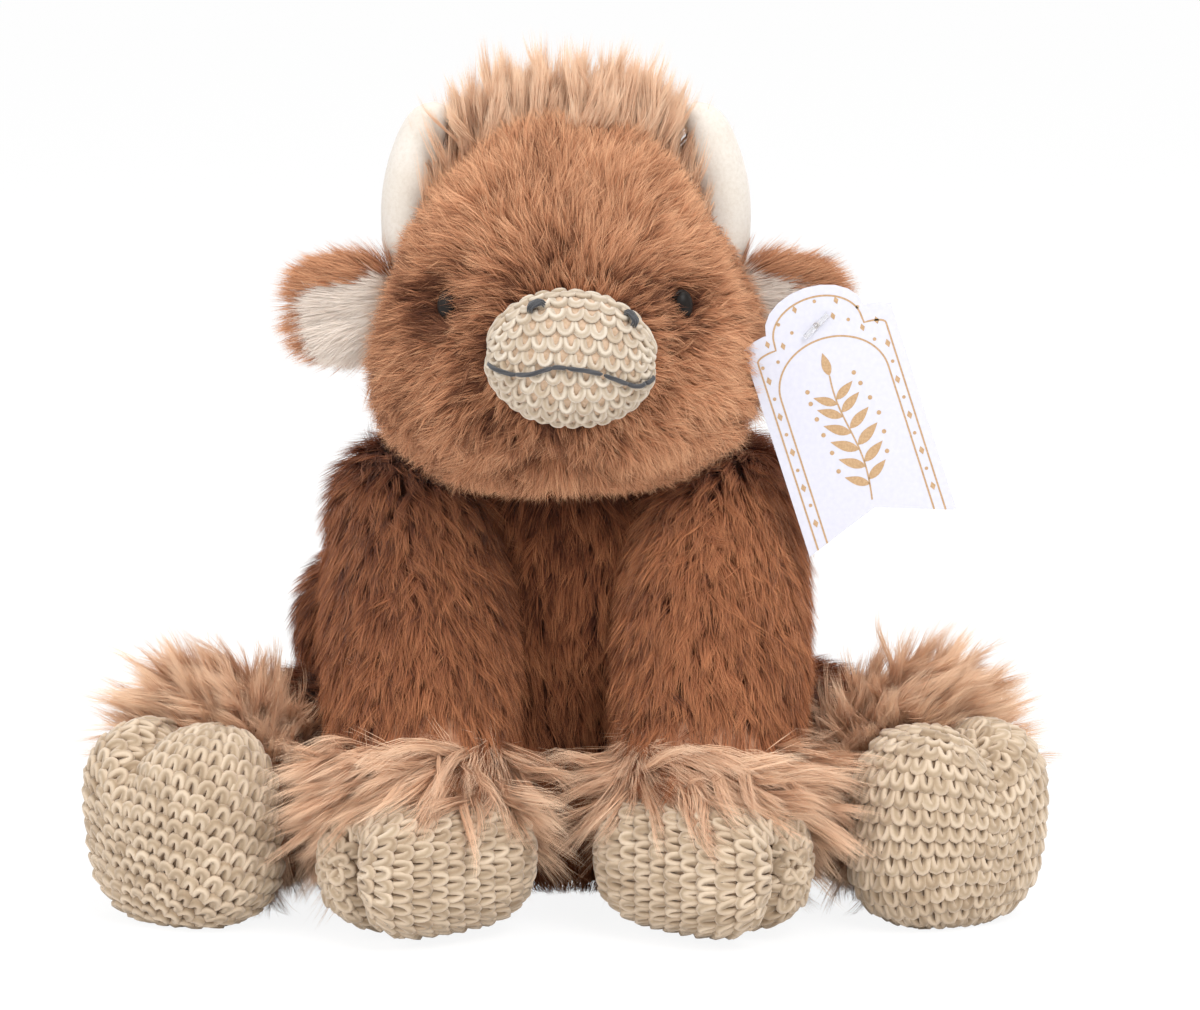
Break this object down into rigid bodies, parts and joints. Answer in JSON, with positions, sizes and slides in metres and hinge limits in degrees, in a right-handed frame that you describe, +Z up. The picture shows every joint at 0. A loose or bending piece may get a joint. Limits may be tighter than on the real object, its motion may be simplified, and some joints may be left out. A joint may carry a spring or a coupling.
{
  "type": "plush cow",
  "caption": "Seated shaggy plush cow with crocheted muzzle and booties, padded horns and a hanging card tag; the head, ears, legs, tail and tag move.",
  "frame": {"origin": "middle of the flat underside of the torso, on the floor", "axes": "+Z up, the cow faces -Y, +X to the cow's own left"},
  "size_m": [0.2804, 0.1869, 0.25],
  "materials": {
    "short_plush": "short-pile plush, combed in small clumps",
    "dark_plush": "short-pile plush, darker in the shade",
    "long_fur": "long tan faux fur",
    "white_plush": "white short-pile plush",
    "felt": "cream short-nap velour",
    "crochet": "beige cotton yarn in single crochet",
    "pale_crochet": "cream cotton yarn in single crochet",
    "thread": "dark grey embroidery thread",
    "stuffing": "polyester fibre filling",
    "pellet_bag": "cotton bag of plastic pellets",
    "eye_plastic": "black polished plastic",
    "washer_plastic": "natural plastic",
    "card": "matt white card with fine gold lines",
    "clear_plastic": "clear plastic pin"
  },
  "bodies": {
    "torso": {"torso_skin": "dark_plush", "torso_filling": "stuffing", "pellet_pouch": "pellet_bag"},
    "neck": {"neck_wad": "stuffing"},
    "head": {"head_skin": "short_plush", "head_filling": "stuffing", "crown_tuft": "long_fur", "muzzle_cover": "pale_crochet", "muzzle_filling": "stuffing", "mouth_thread": "thread", "nostril_left": "thread", "nostril_right": "thread", "eye_left": "eye_plastic", "eye_right": "eye_plastic", "eye_washer_left": "washer_plastic", "eye_washer_right": "washer_plastic", "horn_left": "felt", "horn_right": "felt", "horn_filling_left": "stuffing", "horn_filling_right": "stuffing"},
    "ear_left": {"ear_back_left": "short_plush", "ear_lining_left": "white_plush", "tag_pin": "clear_plastic"},
    "ear_right": {"ear_back_right": "short_plush", "ear_lining_right": "white_plush"},
    "tag": {"hang_tag": "card"},
    "tail": {"tail_skin": "dark_plush", "tail_tuft": "long_fur"},
    "foreleg_left": {"foreleg_skin_left": "dark_plush", "foreleg_filling_left": "stuffing", "fore_cuff_left": "long_fur", "forehoof_cover_left": "crochet", "forehoof_filling_left": "stuffing"},
    "hindleg_left": {"hindleg_skin_left": "dark_plush", "hindleg_filling_left": "stuffing", "hind_cuff_left": "long_fur", "hindhoof_cover_left": "crochet", "hindhoof_filling_left": "stuffing"},
    "foreleg_right": {"foreleg_skin_right": "dark_plush", "foreleg_filling_right": "stuffing", "fore_cuff_right": "long_fur", "forehoof_cover_right": "crochet", "forehoof_filling_right": "stuffing"},
    "hindleg_right": {"hindleg_skin_right": "dark_plush", "hindleg_filling_right": "stuffing", "hind_cuff_right": "long_fur", "hindhoof_cover_right": "crochet", "hindhoof_filling_right": "stuffing"}
  },
  "joints": [
    {"name": "neck_turn", "type": "hinge", "parent": "torso", "child": "neck", "pos_m": [0, -0.01806, 0.138], "axis": [0, 0, 1], "range_deg": [-20, 20], "stiffness_Nm_per_rad": 0.2},
    {"name": "neck_nod", "type": "hinge", "parent": "neck", "child": "head", "pos_m": [0, -0.01806, 0.138], "axis": [-1, 0, 0], "range_deg": [-8, 8], "stiffness_Nm_per_rad": 0.6, "springref_deg": 1.83},
    {"name": "shoulder_left", "type": "hinge", "parent": "torso", "child": "foreleg_left", "pos_m": [0.046, -0.026, 0.117], "axis": [-1, 0, 0], "range_deg": [0, 35]},
    {"name": "hip_left", "type": "hinge", "parent": "torso", "child": "hindleg_left", "pos_m": [0.058, 0.006, 0.04], "axis": [0, 0, 1], "range_deg": [0, 25]},
    {"name": "ear_fold_left", "type": "hinge", "parent": "head", "child": "ear_left", "pos_m": [0.05044, -0.03435, 0.1808], "axis": [0, -1, 0], "range_deg": [-12, 12], "stiffness_Nm_per_rad": 0.03},
    {"name": "shoulder_right", "type": "hinge", "parent": "torso", "child": "foreleg_right", "pos_m": [-0.046, -0.026, 0.117], "axis": [-1, 0, 0], "range_deg": [0, 35]},
    {"name": "hip_right", "type": "hinge", "parent": "torso", "child": "hindleg_right", "pos_m": [-0.058, 0.006, 0.04], "axis": [0, 0, -1], "range_deg": [0, 25]},
    {"name": "ear_fold_right", "type": "hinge", "parent": "head", "child": "ear_right", "pos_m": [-0.05044, -0.03435, 0.1808], "axis": [0, 1, 0], "range_deg": [-12, 12], "stiffness_Nm_per_rad": 0.03},
    {"name": "tag_swing", "type": "hinge", "parent": "ear_left", "child": "tag", "pos_m": [0.07395, -0.03435, 0.17666], "axis": [0, -1, 0], "range_deg": [0, 40]},
    {"name": "tail_lift", "type": "hinge", "parent": "torso", "child": "tail", "pos_m": [0, 0.04225, 0.046], "axis": [1, 0, 0], "range_deg": [0, 50]}
  ]
}
